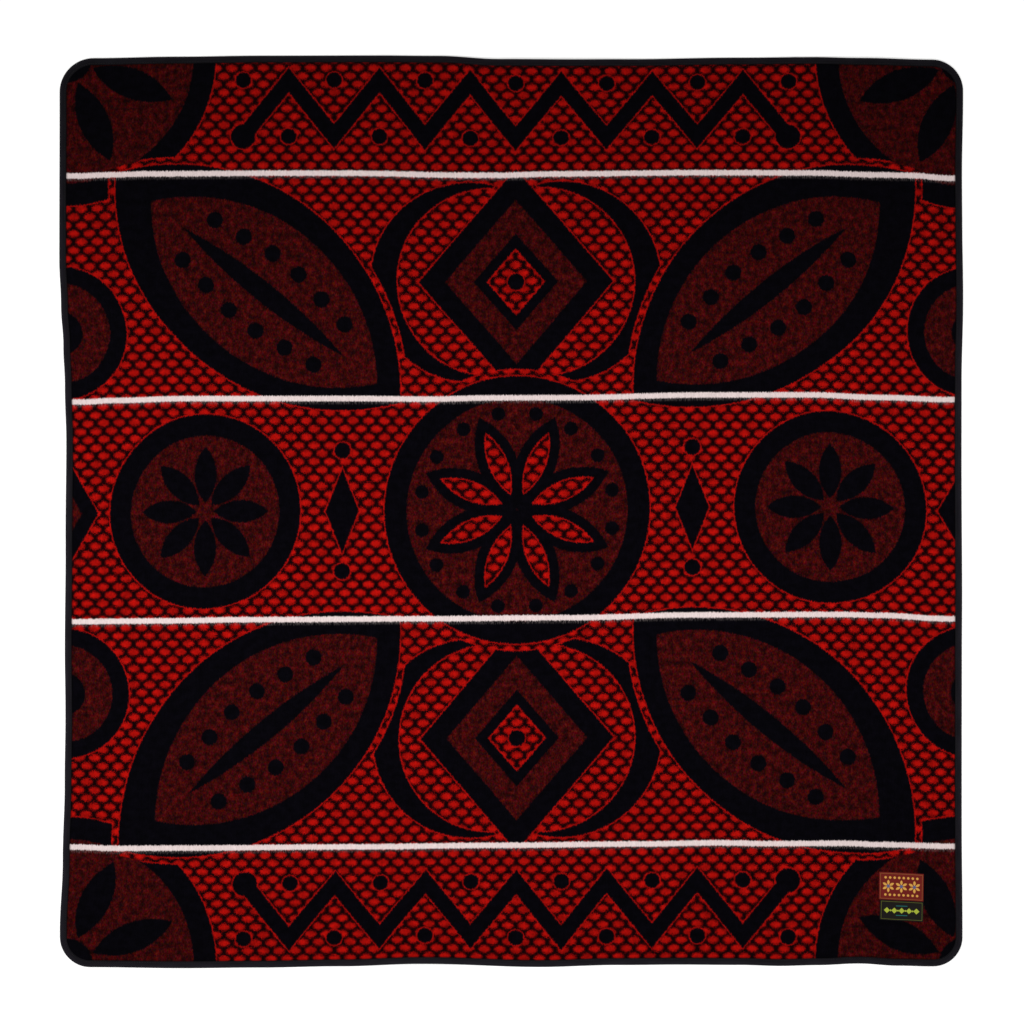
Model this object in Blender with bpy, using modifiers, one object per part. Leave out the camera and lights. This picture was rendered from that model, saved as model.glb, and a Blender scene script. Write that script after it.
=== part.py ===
"""Basotho blanket laid out flat: one thick wool cloth, the tape that binds its edge and two sewn labels.

Metres, +Z up. The blanket lies on z = 0 with its origin under the middle, its four woven stripes run along X.
"""

from collections import namedtuple
from math import cos, exp, pi, radians, sin

import bmesh
import bpy
from mathutils import Matrix, Vector

MM = 0.001

# Driving sizes, in millimetres
WIDTH = 1591.6
LENGTH = 1606.8
CLOTH_THICK = 4.0
RIM_THICK = 2.4
TAPE_WIDTH = 12.2
TAPE_THICK = 1.0
TAPE_HEIGHT = 5.0
GAP = 0.3
RIM_DEPTH = TAPE_WIDTH + 0.9
STEP_WIDTH = 1.6
LABEL_THICK = 0.8
LABEL_EDGE = 0.25

# How the outline is divided
CORNER_STEPS = 9
SIDE_STEP = 50.0
INNER_STEPS = (26.0,)
PINCHED_RINGS = 2
SHRINKS = (0.955, 0.95, 0.93)
FOLD_RADIUS = 2.3
FOLD_STEPS = 2

Corner = namedtuple("Corner", "name sign_x sign_y radius")
CORNERS = (
    Corner("bottom_right", 1, -1, 52.0),
    Corner("top_right", 1, 1, 55.0),
    Corner("top_left", -1, 1, 60.0),
    Corner("bottom_left", -1, -1, 54.0),
)

# How far each edge is drawn in from the straight line, read along that edge
Pull = namedtuple("Pull", "along inward")
LEFT_PULLS = (
    Pull(-740, 1.2),
    Pull(-610, 6.3),
    Pull(-470, 10.2),
    Pull(-360, 11.6),
    Pull(-230, 10.0),
    Pull(-50, 11.6),
    Pull(130, 13.4),
    Pull(230, 10.6),
    Pull(300, 7.6),
    Pull(370, 3.3),
    Pull(450, 0.2),
    Pull(740, 0.8),
)
RIGHT_PULLS = (
    Pull(-740, 1.3),
    Pull(-540, 2.6),
    Pull(-260, 3.0),
    Pull(-120, 2.1),
    Pull(90, 2.9),
    Pull(230, 2.8),
    Pull(370, 0.4),
    Pull(510, 1.8),
    Pull(600, 2.2),
    Pull(740, 0.2),
)
BOTTOM_PULLS = (
    Pull(-740, 1.8),
    Pull(-580, 0.0),
    Pull(-440, 1.1),
    Pull(-300, 3.4),
    Pull(-160, 8.3),
    Pull(50, 2.1),
    Pull(190, 5.8),
    Pull(300, 6.9),
    Pull(400, 6.0),
    Pull(475, 4.0),
    Pull(540, 5.4),
    Pull(612, 8.2),
    Pull(684, 4.4),
    Pull(740, 3.2),
)
TOP_PULLS = (
    Pull(-740, 4.8),
    Pull(-583, 2.1),
    Pull(-440, 0.4),
    Pull(-230, 0.0),
    Pull(-130, 0.9),
    Pull(-20, 6.8),
    Pull(100, 7.5),
    Pull(200, 7.0),
    Pull(400, 3.9),
    Pull(530, 3.0),
    Pull(614, 4.8),
    Pull(740, 7.6),
)

# Low waves of the hem, where the cloth doesn't quite reach the floor
Ripple = namedtuple("Ripple", "x y spread_x spread_y lift")
RIPPLES = (
    Ripple(-796, 110, 70, 170, 5.0),
    Ripple(-796, -400, 60, 130, 3.5),
    Ripple(70, 803, 190, 60, 4.5),
    Ripple(640, 803, 120, 50, 3.0),
    Ripple(-160, -803, 90, 60, 4.5),
    Ripple(300, -803, 110, 50, 3.0),
    Ripple(796, -260, 50, 140, 3.5),
    Ripple(796, 430, 50, 90, 2.5),
)
FLAT_BELOW = 0.12

Label = namedtuple("Label", "name centre_x centre_y width height turn_degrees")
LABELS = (
    Label("label_upper", 688.0, -661.3, 78.5, 49.6, -1.3),
    Label("label_lower", 688.2, -704.9, 76.5, 36.2, -1.3),
)

Finish = namedtuple("Finish", "red green blue roughness")
FINISHES = {
    "cloth": Finish(0.10, 0.008, 0.008, 0.95),
    "binding": Finish(0.014, 0.012, 0.015, 0.85),
    "label_upper": Finish(0.09, 0.030, 0.018, 0.8),
    "label_lower": Finish(0.010, 0.009, 0.009, 0.8),
}


def clear_scene():
    """Removes every object of the open scene."""
    for old in list(bpy.data.objects):
        bpy.data.objects.remove(old, do_unlink=True)


def read_along(rows, along):
    """Reads a table of pulls at one place, with an even slope from row to row."""
    if along <= rows[0].along:
        return rows[0].inward
    for near, far in zip(rows, rows[1:]):
        if along <= far.along:
            share = (along - near.along) / (far.along - near.along)
            share = (1 - cos(pi * share)) / 2
            return near.inward + (far.inward - near.inward) * share
    return rows[-1].inward


def as_lying(x, y):
    """Moves a point of the straight-edged blanket to where the cloth lies: each pull fades towards the far edge."""
    rightward = (x / WIDTH) + 0.5
    upward = (y / LENGTH) + 0.5
    moved_x = x + read_along(LEFT_PULLS, y) * (1 - rightward) ** 2 - read_along(RIGHT_PULLS, y) * rightward**2
    moved_y = y + read_along(BOTTOM_PULLS, x) * (1 - upward) ** 2 - read_along(TOP_PULLS, x) * upward**2
    return moved_x, moved_y


def lift(x, y):
    """Height of the cloth over the floor, in millimetres: zero all over the middle."""
    total = sum(
        row.lift * exp(-(((x - row.x) / row.spread_x) ** 2) - ((y - row.y) / row.spread_y) ** 2)
        for row in RIPPLES
    )
    return max(total - FLAT_BELOW, 0.0)


def outline(inset):
    """The blanket's edge drawn in by inset, anticlockwise from the right end of the bottom side."""
    points = []
    corner_points = []
    for corner in CORNERS:
        middle_x = corner.sign_x * (WIDTH / 2 - corner.radius)
        middle_y = corner.sign_y * (LENGTH / 2 - corner.radius)
        start = {(1, -1): -90, (1, 1): 0, (-1, 1): 90, (-1, -1): 180}[corner.sign_x, corner.sign_y]
        reach = corner.radius - inset
        turns = [radians(start + 90 * step / CORNER_STEPS) for step in range(CORNER_STEPS + 1)]
        corner_points.append([(middle_x + reach * cos(turn), middle_y + reach * sin(turn)) for turn in turns])
    for index, arc in enumerate(corner_points):
        points += arc
        x, y = arc[-1]
        next_x, next_y = corner_points[(index + 1) % len(corner_points)][0]
        steps = round(max(abs(next_x - x), abs(next_y - y)) / SIDE_STEP)
        points += [
            (x + (next_x - x) * step / steps, y + (next_y - y) * step / steps)
            for step in range(1, steps)
        ]
    return points


def middle_of_outline():
    """Where the middle of the lying outline falls, so that the blanket can be centred on the origin."""
    lying = [as_lying(x, y) for x, y in outline(0)]
    across = [x for x, _ in lying]
    along = [y for _, y in lying]
    return (min(across) + max(across)) / 2, (min(along) + max(along)) / 2


def placed(point, height, centre):
    """A point of the straight-edged blanket, laid, centred, at this height and in metres."""
    x, y = as_lying(*point)
    return Vector((x - centre[0], y - centre[1], height)) * MM


def fabric(name):
    """The sub-part's own plain material."""
    finish = FINISHES[name]
    material = bpy.data.materials.new(name)
    material.use_nodes = True
    shader = material.node_tree.nodes["Principled BSDF"]
    shader.inputs["Base Color"].default_value = (finish.red, finish.green, finish.blue, 1)
    shader.inputs["Roughness"].default_value = finish.roughness
    shader.inputs["Metallic"].default_value = 0
    return material


def add_object(name, data, collection):
    """One named sub-part with its material."""
    piece = bpy.data.objects.new(name, data)
    collection.objects.link(piece)
    data.materials.append(fabric(name))
    return piece


def make_cloth(collection, centre):
    """The wool cloth: a sheet at mid thickness in rings of points, pinched thin where the tape holds its rim."""
    insets = [TAPE_THICK + GAP, RIM_DEPTH, RIM_DEPTH + STEP_WIDTH]
    for step in INNER_STEPS:
        insets.append(insets[-1] + step)
    loops = [outline(inset) for inset in insets]
    for shrink in SHRINKS:
        loops.append([(x * shrink, y * shrink) for x, y in loops[-1]])

    sheet = bmesh.new()
    rings = []
    for index, loop in enumerate(loops):
        middle = TAPE_HEIGHT / 2 if index < PINCHED_RINGS else CLOTH_THICK / 2
        # The rim rises with the tape that holds it, and only the cloth inside it slopes.
        rising = outline(0) if index <= PINCHED_RINGS else loop
        heights = [middle + lift(x, y) for x, y in rising]
        rings.append(
            [sheet.verts.new(placed(point, height, centre)) for point, height in zip(loop, heights)]
        )
    ring_edges = [
        [sheet.edges.new(pair) for pair in zip(ring, ring[1:] + ring[:1])]
        for ring in rings
    ]
    for outer, inner in zip(ring_edges, ring_edges[1:]):
        bmesh.ops.bridge_loops(sheet, edges=outer + inner)
    sheet.faces.new(rings[-1])
    bmesh.ops.recalc_face_normals(sheet, faces=sheet.faces)
    sheet.faces.ensure_lookup_table()
    if sheet.faces[-1].normal.z < 0:
        bmesh.ops.reverse_faces(sheet, faces=sheet.faces)
    sheet.verts.index_update()
    pinched = [vert.index for ring in rings[:PINCHED_RINGS] for vert in ring]
    mesh = bpy.data.meshes.new("cloth")
    sheet.to_mesh(mesh)
    sheet.free()

    cloth = add_object("cloth", mesh, collection)
    thickness = cloth.vertex_groups.new(name="thickness")
    thickness.add(range(len(mesh.vertices)), 1.0, "REPLACE")
    thickness.add(pinched, RIM_THICK / CLOTH_THICK, "REPLACE")
    solid = cloth.modifiers.new("thickness", "SOLIDIFY")
    solid.thickness = CLOTH_THICK * MM
    solid.offset = 0
    solid.vertex_group = thickness.name


def closed_curve(name, points):
    """A closed curve of straight runs through these points."""
    curve = bpy.data.curves.new(name, "CURVE")
    curve.dimensions = "3D"
    run = curve.splines.new("POLY")
    run.points.add(len(points) - 1)
    for point, place in zip(run.points, points):
        point.co = (*place, 1)
    run.use_cyclic_u = True
    return curve


def tape_section():
    """The folded tape cut across: two faces and a rounded fold, its mouth towards the cloth."""
    half = TAPE_HEIGHT / 2
    fold = FOLD_RADIUS
    hollow = half - TAPE_THICK
    outer = [
        (fold * (1 - cos(turn)), (half - fold) + fold * sin(turn))
        for turn in (radians(90 * step / FOLD_STEPS) for step in range(FOLD_STEPS + 1))
    ]
    upper = outer + [(TAPE_WIDTH, half), (TAPE_WIDTH, hollow), (TAPE_THICK, hollow)]
    lower = [(inward, -up) for inward, up in reversed(upper)]
    return [Vector((-inward, up, 0)) * MM for inward, up in reversed(upper + lower)]


def make_binding(collection, guides, centre):
    """The tape folded over the edge: its section carried round the outline by a curve."""
    section = closed_curve("tape_section", tape_section())
    section.dimensions = "2D"
    section.fill_mode = "NONE"
    guide = bpy.data.objects.new("tape_section", section)
    guide.hide_render = True
    guide.display_type = "WIRE"
    guides.objects.link(guide)

    edge = [placed((x, y), TAPE_HEIGHT / 2 + lift(x, y), centre) for x, y in outline(0)]
    path = closed_curve("binding", edge)
    path.twist_mode = "Z_UP"
    path.bevel_mode = "OBJECT"
    path.bevel_object = guide
    add_object("binding", path, collection)


def make_label(collection, label, centre):
    """A small woven label that lies on the cloth, its upper edges softened."""
    bpy.ops.mesh.primitive_cube_add(size=1)
    piece = bpy.context.object
    piece.name = label.name
    for owner in list(piece.users_collection):
        owner.objects.unlink(piece)
    collection.objects.link(piece)
    piece.data.name = label.name
    piece.data.transform(Matrix.Diagonal((label.width * MM, label.height * MM, LABEL_THICK * MM, 1)))
    piece.location = placed(
        (label.centre_x, label.centre_y), CLOTH_THICK + GAP + LABEL_THICK / 2, centre
    )
    piece.rotation_euler.z = radians(label.turn_degrees)
    piece.data.materials.append(fabric(label.name))
    bevel = piece.modifiers.new("soft_edge", "BEVEL")
    bevel.width = LABEL_EDGE * MM
    bevel.segments = 2


def build():
    """Makes the whole blanket."""
    clear_scene()
    blanket = bpy.data.collections.new("basotho_blanket")
    guides = bpy.data.collections.new("guides")
    bpy.context.scene.collection.children.link(blanket)
    bpy.context.scene.collection.children.link(guides)
    centre = middle_of_outline()
    make_cloth(blanket, centre)
    make_binding(blanket, guides, centre)
    for label in LABELS:
        make_label(blanket, label, centre)


build()
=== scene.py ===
"""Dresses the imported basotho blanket: figured wool cloth, bound edge, sewn labels and a plain studio."""

from collections import namedtuple
from functools import partial
from itertools import product
from math import atan2, cos, exp, hypot, pi, radians, sin

import bmesh
import bpy
from mathutils import Matrix, Vector, noise


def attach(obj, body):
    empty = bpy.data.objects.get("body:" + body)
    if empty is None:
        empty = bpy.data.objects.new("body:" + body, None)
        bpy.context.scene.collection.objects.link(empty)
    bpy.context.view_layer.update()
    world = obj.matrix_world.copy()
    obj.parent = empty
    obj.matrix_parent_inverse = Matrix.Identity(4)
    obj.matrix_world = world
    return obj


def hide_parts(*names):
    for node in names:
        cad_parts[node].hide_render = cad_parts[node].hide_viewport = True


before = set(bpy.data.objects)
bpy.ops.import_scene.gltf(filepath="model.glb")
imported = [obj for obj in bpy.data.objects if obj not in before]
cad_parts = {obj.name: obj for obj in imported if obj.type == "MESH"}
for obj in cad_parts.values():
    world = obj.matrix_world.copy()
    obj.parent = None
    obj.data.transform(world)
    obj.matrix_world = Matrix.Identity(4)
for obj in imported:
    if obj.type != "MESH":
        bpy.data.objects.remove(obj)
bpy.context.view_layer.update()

bl_info = {
    "name": "Basotho blanket",
    "version": (1, 0, 0),
    "blender": (4, 5, 0),
    "location": "3D View > Sidebar > Blanket",
    "description": "Makes a bound wool blanket with woven stripes and its sewn labels",
    "category": "Object",
}

MM = 0.001


def table(row, *rows):
    """Rows of values, each read by the row's own column names."""
    return tuple(row(*values) for values in rows)


# The blanket before it is laid out, in millimetres: straight sides and round corners
WIDTH = 1591.6
LENGTH = 1606.8
Corner = namedtuple("Corner", "side end radius start_degrees")
CORNERS = table(Corner, (1, -1, 52.0, -90), (1, 1, 55.0, 0), (-1, 1, 60.0, 90), (-1, -1, 54.0, 180))

# How far the lying edges are drawn in, read along each edge
Pull = namedtuple("Pull", "along inward")
LEFT_PULLS = table(
    Pull,
    *((-740, 1.2), (-610, 6.3), (-470, 10.2), (-360, 11.6), (-230, 10.0), (-50, 11.6)),
    *((130, 13.4), (230, 10.6), (300, 7.6), (370, 3.3), (450, 0.2), (740, 0.8)),
)
RIGHT_PULLS = table(
    Pull,
    *((-740, 1.3), (-540, 2.6), (-260, 3.0), (-120, 2.1), (90, 2.9)),
    *((230, 2.8), (370, 0.4), (510, 1.8), (600, 2.2), (740, 0.2)),
)

# Weft lines that run across the blanket: each lies higher or lower than straight by so much
Rise = namedtuple("Rise", "along upward")
Weft = namedtuple("Weft", "place rises")
BOTTOM_RISES = table(
    Rise,
    *((-740, 1.8), (-580, 0.0), (-440, 1.1), (-300, 3.4), (-160, 8.3), (50, 2.1), (190, 5.8)),
    *((300, 6.9), (400, 6.0), (475, 4.0), (540, 5.4), (612, 8.2), (684, 4.4), (740, 3.2)),
)
LOW_STRIPE_RISES = table(
    Rise,
    *((-768, -2.8), (-706, -5.3), (-583, -4.6), (-275, -2.5), (-28, 0.2), (218, 2.5)),
    *((365, 4.6), (464, 3.2), (587, 3.8), (649, 1.6), (772, -1.4)),
)
LOWER_MIDDLE_STRIPE_RISES = table(
    Rise,
    *((-768, -7.2), (-645, -6.0), (-460, -3.6), (-152, -2.1), (95, -0.2)),
    *((330, 4.7), (587, 5.4), (649, 3.9), (772, -2.1)),
)
UPPER_MIDDLE_STRIPE_RISES = table(
    Rise,
    *((-768, -8.1), (-706, -5.3), (-583, -2.1), (-275, -1.9), (-152, -3.0), (-28, -0.7)),
    *((95, -0.4), (341, 4.4), (526, 4.6), (649, 0.0), (772, -3.7)),
)
HIGH_STRIPE_RISES = table(
    Rise,
    *((-768, -3.7), (-706, -1.8), (-645, 0.0), (-398, 1.2), (-275, 1.1), (-90, -2.4), (-28, -2.5)),
    *((95, 0.0), (340, 2.1), (526, 1.6), (649, -1.8), (711, -3.0), (772, -7.6)),
)
TOP_RISES = table(
    Rise,
    *((-740, -4.8), (-583, -2.1), (-440, -0.4), (-230, 0.0), (-130, -0.9), (-20, -6.8)),
    *((100, -7.5), (200, -7.0), (400, -3.9), (530, -3.0), (614, -4.8), (740, -7.6)),
)
WEFTS = table(
    Weft,
    (-LENGTH / 2, BOTTOM_RISES),
    (-587.1, LOW_STRIPE_RISES),
    (-186.1, LOWER_MIDDLE_STRIPE_RISES),
    (201.3, UPPER_MIDDLE_STRIPE_RISES),
    (594.8, HIGH_STRIPE_RISES),
    (LENGTH / 2, TOP_RISES),
)
STRIPES = WEFTS[1:-1]

# Low waves of the hem, where the cloth doesn't quite reach the floor
Ripple = namedtuple("Ripple", "x y spread_x spread_y lift")
RIPPLES = table(
    Ripple,
    (-796, 110, 70, 170, 5.0),
    (-796, -400, 60, 130, 3.5),
    (70, 803, 190, 60, 4.5),
    (640, 803, 120, 50, 3.0),
    (-160, -803, 90, 60, 4.5),
    (300, -803, 110, 50, 3.0),
    (796, -260, 50, 140, 3.5),
    (796, 430, 50, 90, 2.5),
)
FLAT_BELOW = 0.12

# Noise in the lie of the cloth: how high, how wide, and which layer of the noise it is read from
Unevenness = namedtuple("Unevenness", "height width layer")
SEAM_PUCKER = Unevenness(0.5, 21, 1)
CLOTH_SWELLS = table(Unevenness, (0.3, 38, 2), (0.22, 110, 3))
TAPE_PUCKERS = table(Unevenness, (0.35, 13, 4), (0.2, 40, 5))
SEAM_WAVER = Unevenness(0.25, 30, 6)
LABEL_SWELL = Unevenness(0.16, 14, 8)
LAYER_STEP = 7.3

# The cloth's section: how far inside the outline it ends, and how it opens from its pinched rim
CLOTH_INSET = 1.3
CLOTH_EDGE = (0.0, 3.7, 7.7, 10.7, 11.9, 13.7, 15.7, 18.2, 21.7, 26.7, 33.7)
PINCHED_HALF = 1.05
OPENS_FROM, OPENS_TO = 12.0, 19.0
PUCKER_INSET, PUCKER_SPREAD = 17, 11
HEM_INSET = 12.3

# The tape cut across: its upper face from the fold to the hem, with a dip where the seam pulls it down
TapeFace = namedtuple("TapeFace", "inset height")
TAPE_FACE = table(
    TapeFace,
    *((2.4, 5.0), (4.6, 5.25), (7.0, 5.2), (8.8, 4.95), (9.7, 4.6)),
    *((10.6, 4.85), (11.6, 4.9), (12.1, 4.7), (12.25, 4.3)),
)
HELD_FROM = 8
TAPE_MIDDLE = 2.5
FOLD_RADIUS = 2.4
FOLD_STEPS = 4
SEAM_INSET = 9.7
SEAM_HEIGHT = 4.75
SEAM_HEIGHT_BELOW = 0.3
LAP_START, LAP_END, LAP_SLOPE, LAP_HEIGHT = 490.0, 505.0, 11, 0.9

# The woven labels: what they are made of, and where they are sewn on
Label = namedtuple("Label", "piece node stitches thread centre_x centre_y width height turn_degrees")
UPPER_LABEL = Label(
    "woven_label_upper",
    "label_upper",
    "upper_label_stitches",
    "red_brown_polyester_thread",
    *(688.0, -661.3, 78.5, 49.6, -1.3),
)
LOWER_LABEL = Label(
    "woven_label_lower",
    "label_lower",
    "lower_label_stitches",
    "dark_polyester_thread",
    *(688.2, -704.9, 76.5, 36.2, -1.3),
)
LABEL_EDGE = (0.0, 0.3, 0.9, 1.7, 3.2, 4.0)
LABEL_STEP = 2.0
LABEL_BASE = 4.15
LABEL_SEAM_INSET = 1.7
LABEL_STITCH_STEP = 3.0
LABEL_STITCH_SCALE = 0.66
LABEL_STITCH_RAISED = 0.12
FRAME_INSET = 2.3

# The patch of cloth round both labels that they hold flat, and the strip round it where that fades
HELD_HALF_WIDTH, HELD_HALF_HEIGHT, HELD_FADE = 42, 50, 25


def linear(code):
    """Turns an sRGB hex value such as 9c0d08 into linear light."""
    parts = [int(code[start : start + 2], 16) / 255 for start in (0, 2, 4)]
    return [part / 12.92 if part <= 0.04045 else ((part + 0.055) / 1.055) ** 2.4 for part in parts]


def length_setting(name, description, default):
    """A size that a user may change, shown with its unit."""
    return bpy.props.FloatProperty(name=name, description=description, default=default, unit="LENGTH")


def colour_setting(name, description, code):
    """A colour that a user may change."""
    return bpy.props.FloatVectorProperty(
        name=name, description=description, default=linear(code), subtype="COLOR", min=0, max=1
    )


class BlanketSizes(bpy.types.PropertyGroup):
    """Sizes of the cloth, its tape and its figure."""

    cloth_thick: length_setting("Cloth", "Thickness of the brushed cloth", 4.0 * MM)
    cloth_step: length_setting("Cloth step", "Spacing of the cloth's points", 9.0 * MM)
    tape_step: length_setting("Tape step", "Spacing of the tape's sections", 5.0 * MM)
    stripe_width: length_setting("Stripe", "Width of a woven white stripe", 9.3 * MM)
    net_across: length_setting("Net across", "Spacing of the red ovals in a row", 27.8 * MM)
    net_along: length_setting("Net along", "Spacing of the rows of ovals", 14.4 * MM)
    stitch_step: length_setting("Stitch step", "Spacing of the stitches of the tape", 4.6 * MM)
    stitch_length: length_setting("Stitch", "Length of one stitch", 3.5 * MM)
    thread_thick: length_setting("Thread", "Thickness of the sewing thread", 0.55 * MM)
    label_thick: length_setting("Label", "Thickness of a woven label", 0.7 * MM)


class BlanketColours(bpy.types.PropertyGroup):
    """Colours of the yarns, the tape and the labels."""

    red: colour_setting("Red yarn", "The ovals of the net and the fine outlines", "a20c07")
    black: colour_setting("Black yarn", "The bold outlines", "050408")
    net_black: colour_setting("Net black", "Black with red fibres brushed over it", "130204")
    heather_dark: colour_setting("Dark heather", "Darker flecks of the mixed fillings", "1b0506")
    heather_light: colour_setting("Light heather", "Redder flecks of the mixed fillings", "500b0a")
    white: colour_setting("White yarn", "The four woven stripes", "e2d0ce")
    tape: colour_setting("Tape", "The folded edge tape", "151318")
    upper_label: colour_setting("Upper label", "Red-brown ground", "6b1e1a")
    lower_label: colour_setting("Lower label", "Black ground", "1b1816")
    thread: colour_setting("Tape thread", "Thread of the edge seam", "17141a")
    gold: colour_setting("Gold thread", "Petals and dots of the upper label", "dca64e")
    slate: colour_setting("Slate thread", "Round spots of the upper label", "565e88")
    green: colour_setting("Green thread", "Lozenges of the lower label", "b0bc40")
    teal: colour_setting("Teal thread", "Bars of the lower label", "1f6a66")
    floor: colour_setting("Floor", "Plain studio floor", "f2f2f0")


def sizes():
    """The sizes in the scene's settings."""
    return bpy.context.scene.blanket_sizes


def colours():
    """The colours in the scene's settings."""
    return bpy.context.scene.blanket_colours


def read_along(rows, along):
    """Reads a table of places and amounts, with a smooth slope from row to row."""
    if along <= rows[0][0]:
        return rows[0][1]
    for near, far in zip(rows, rows[1:]):
        if along <= far[0]:
            share = (along - near[0]) / (far[0] - near[0])
            return near[1] + (far[1] - near[1]) * (1 - cos(pi * share)) / 2
    return rows[-1][1]


def nearest_wefts(y):
    """The weft line below and the one above this place."""
    for low, high in zip(WEFTS, WEFTS[1:]):
        if y <= high.place:
            return low, high
    return WEFTS[-2:]


def as_lying(x, y):
    """Moves a point of the straight blanket to where the cloth lies."""
    rightward = x / WIDTH + 0.5
    left, right = read_along(LEFT_PULLS, y), read_along(RIGHT_PULLS, y)
    moved_x = x + left * (1 - rightward) ** 2 - right * rightward**2
    level = [(weft.place, read_along(weft.rises, x)) for weft in nearest_wefts(y)]
    return moved_x, y + read_along(level, y)


def lift(x, y):
    """Height of the cloth over the floor, in millimetres: zero all over the middle."""
    total = sum(
        row.lift * exp(-(((x - row.x) / row.spread_x) ** 2) - ((y - row.y) / row.spread_y) ** 2)
        for row in RIPPLES
    )
    return max(total - FLAT_BELOW, 0.0)


def smooth(low, high, value):
    """Rises evenly from 0 at low to 1 at high."""
    share = min(max((value - low) / (high - low), 0.0), 1.0)
    return share * share * (3 - 2 * share)


def corner_radius(x, y):
    """Radius of the corner in this quarter of the blanket."""
    quarter = (1 if x > 0 else -1, 1 if y > 0 else -1)
    return next(corner.radius for corner in CORNERS if (corner.side, corner.end) == quarter)


def corner_cut(side, y):
    """How much a round corner takes off a row of the cloth at this side: 1 for right, -1 for left."""
    radius = corner_radius(side, y)
    into_corner = radius - (LENGTH / 2 - abs(y))
    if into_corner <= 0:
        return 0.0
    reach = radius - CLOTH_INSET
    return reach - max(reach**2 - into_corner**2, 0.0) ** 0.5


def edge_distance(x, y):
    """Distance from the straight blanket's outline, inwards."""
    radius = corner_radius(x, y)
    over_x = abs(x) - (WIDTH / 2 - radius)
    over_y = abs(y) - (LENGTH / 2 - radius)
    if over_x > 0 and over_y > 0:
        return radius - hypot(over_x, over_y)
    return min(WIDTH / 2 - abs(x), LENGTH / 2 - abs(y))


Spot = namedtuple("Spot", "x y inward_x inward_y")


def outline(inset, step):
    """Spots round the straight blanket, this far inside its edge, anticlockwise from the lower right."""
    spots = []
    for corner, following in zip(CORNERS, CORNERS[1:] + CORNERS[:1]):
        middle_x = corner.side * (WIDTH / 2 - corner.radius)
        middle_y = corner.end * (LENGTH / 2 - corner.radius)
        reach = corner.radius - inset
        steps = max(round(corner.radius * pi / 2 / step), 3)
        for index in range(steps + 1):
            turn = radians(corner.start_degrees + 90 * index / steps)
            x, y = middle_x + reach * cos(turn), middle_y + reach * sin(turn)
            spots.append(Spot(x, y, -cos(turn), -sin(turn)))
        x, y, inward_x, inward_y = spots[-1]
        run = (LENGTH if corner.side == following.side else WIDTH) - corner.radius - following.radius
        steps = round(run / step)
        for index in range(1, steps):
            along = run * index / steps
            spots.append(Spot(x + along * inward_y, y - along * inward_x, inward_x, inward_y))
    return spots


def middle_of_outline():
    """Where the middle of the lying outline falls, so that the blanket can be centred on the origin."""
    across, along = zip(*(as_lying(spot.x, spot.y) for spot in outline(0, 20.0)))
    return (min(across) + max(across)) / 2, (min(along) + max(along)) / 2


MIDDLE = middle_of_outline()


def placed(x, y, height):
    """A point of the straight blanket, laid and centred, at this height in millimetres."""
    lying_x, lying_y = as_lying(x, y)
    return Vector((lying_x - MIDDLE[0], lying_y - MIDDLE[1], height)) * MM


def uneven(x, y, *rows):
    """The unevenness that these rows give here, in millimetres up or down."""
    return sum(
        row.height * noise.noise(Vector((x / row.width, y / row.width, LAYER_STEP * row.layer)))
        for row in rows
    )


def around(x, y, reach, turn):
    """The place this far from a middle, in the direction of a turn in degrees."""
    return x + reach * cos(radians(turn)), y + reach * sin(radians(turn))


def add(tree, kind, feeds=(), operation=None, out=0, **settings):
    """Adds one node with its settings, feeds its inputs from sockets or values, and gives one output."""
    node = tree.nodes.new("ShaderNode" + kind)
    if operation:
        node.operation = operation
    for name, value in settings.items():
        setattr(node, name, value)
    for key, feed in feeds.items() if isinstance(feeds, dict) else enumerate(feeds):
        if isinstance(feed, bpy.types.NodeSocket):
            tree.links.new(feed, node.inputs[key])
        else:
            node.inputs[key].default_value = feed
    return node.outputs[out]


def worked(tree, kind, value, *steps):
    """Takes a value through steps of arithmetic, each an operation and what else it works with."""
    for operation, *others in steps:
        value = add(tree, kind, [value, *others], operation)
    return value


def start_material(name, roughness, sheen=0.0, gloss=0.1):
    """A new material with an even roughness, sheen and gloss, and the two things that build on it."""
    material = bpy.data.materials.new(name)
    material.use_nodes = True
    shader = material.node_tree.nodes["Principled BSDF"]
    shader.inputs["Roughness"].default_value = roughness
    shader.inputs["Sheen Weight"].default_value = sheen
    shader.inputs["Sheen Roughness"].default_value = 0.6
    shader.inputs["Specular IOR Level"].default_value = gloss
    return material, material.node_tree, shader


def colour_with_shade(tree, shader, colour, tone):
    """Gives the surface its colour, made lighter or darker by a tone, which in this script also carries
    painted light and shade.
    """
    toned = add(tree, "VectorMath", {0: colour, "Scale": tone}, "SCALE")
    tree.links.new(toned, shader.inputs["Base Color"])


def texture(tree, shader, height, strength, depth):
    """Gives the surface a fine relief, this deep in millimetres."""
    bump = add(tree, "Bump", {"Strength": strength, "Distance": depth * MM, "Height": height})
    tree.links.new(bump, shader.inputs["Normal"])


def flat_place(tree):
    """The place on the flat cloth, tape or label, in millimetres."""
    return add(tree, "VectorMath", {0: add(tree, "UVMap", uv_map="flat"), "Scale": 1 / MM}, "SCALE")


def inside(tree, distance, softness):
    """1 where a distance is below zero and 0 outside, with a soft edge of so many millimetres."""
    return add(tree, "MapRange", [distance, softness, -softness], interpolation_type="SMOOTHSTEP")


def layered(tree, colour, *layers):
    """Lays further colours over one colour, each as strongly as its share says."""
    for share, over in layers:
        colour = add(tree, "Mix", {0: share, 6: colour, 7: over}, out=2, data_type="RGBA")
    return colour


def with_alpha(colour):
    """A settings colour as a node takes it."""
    return (*colour, 1.0)


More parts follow.
